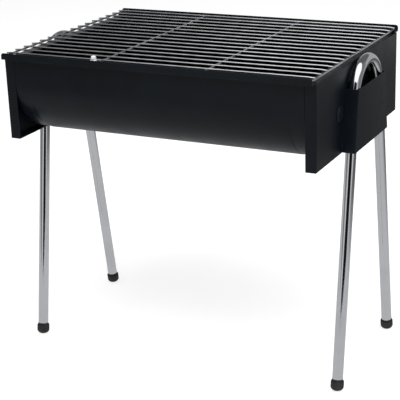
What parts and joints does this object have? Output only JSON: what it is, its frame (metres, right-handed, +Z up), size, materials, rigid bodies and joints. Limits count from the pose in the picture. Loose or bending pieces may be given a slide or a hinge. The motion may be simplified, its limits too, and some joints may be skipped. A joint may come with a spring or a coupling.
{
  "type": "charcoal camp grill",
  "caption": "Free-standing charcoal camp grill: round-bottomed fire trough between flanged end panels, bent-tube leg frames with carrying bows, lift-off wire grate.",
  "frame": {"origin": "on the ground, below the middle of the trough", "axes": "+X along the trough, +Y across it towards the rear long side, +Z up"},
  "size_m": [0.5618, 0.381, 0.5171],
  "materials": {
    "black_enamel": "satin stove enamel",
    "black_bolt": "satin",
    "chromed_wire": "bright plated wire",
    "chromed_steel": "bright plated tube",
    "zinc_plated_steel": "dull zinc plate",
    "black_rubber": "matt moulded rubber"
  },
  "bodies": {
    "base": {"trough": "black_enamel", "rim_rail_front": "black_enamel", "rim_rail_rear": "black_enamel", "grate_stop": "chromed_steel", "end_panel_left": "black_enamel", "leg_cover_left": "black_enamel", "panel_bolt_left_front": "black_bolt", "spacer_left_front": "zinc_plated_steel", "nut_left_front": "zinc_plated_steel", "panel_bolt_left_rear": "black_bolt", "spacer_left_rear": "zinc_plated_steel", "nut_left_rear": "zinc_plated_steel", "end_panel_right": "black_enamel", "leg_cover_right": "black_enamel", "panel_bolt_right_front": "black_bolt", "spacer_right_front": "zinc_plated_steel", "nut_right_front": "zinc_plated_steel", "panel_bolt_right_rear": "black_bolt", "spacer_right_rear": "zinc_plated_steel", "nut_right_rear": "zinc_plated_steel"},
    "grate": {"grate": "chromed_wire"},
    "leg_frame_left_assembly": {"leg_frame_left": "chromed_steel", "foot_left_front": "black_rubber", "foot_left_rear": "black_rubber"},
    "leg_frame_right_assembly": {"leg_frame_right": "chromed_steel", "foot_right_front": "black_rubber", "foot_right_rear": "black_rubber"}
  },
  "joints": [
    {"name": "grate_lift", "type": "slide", "parent": "base", "child": "grate", "axis": [0, 0, 1], "range_m": [0, 0.1]},
    {"name": "leg_frame_left_pull", "type": "slide", "parent": "base", "child": "leg_frame_left_assembly", "axis": [0, 0, -1], "range_m": [0, 0.135]},
    {"name": "leg_frame_right_pull", "type": "slide", "parent": "base", "child": "leg_frame_right_assembly", "axis": [0, 0, -1], "range_m": [0, 0.135]}
  ]
}
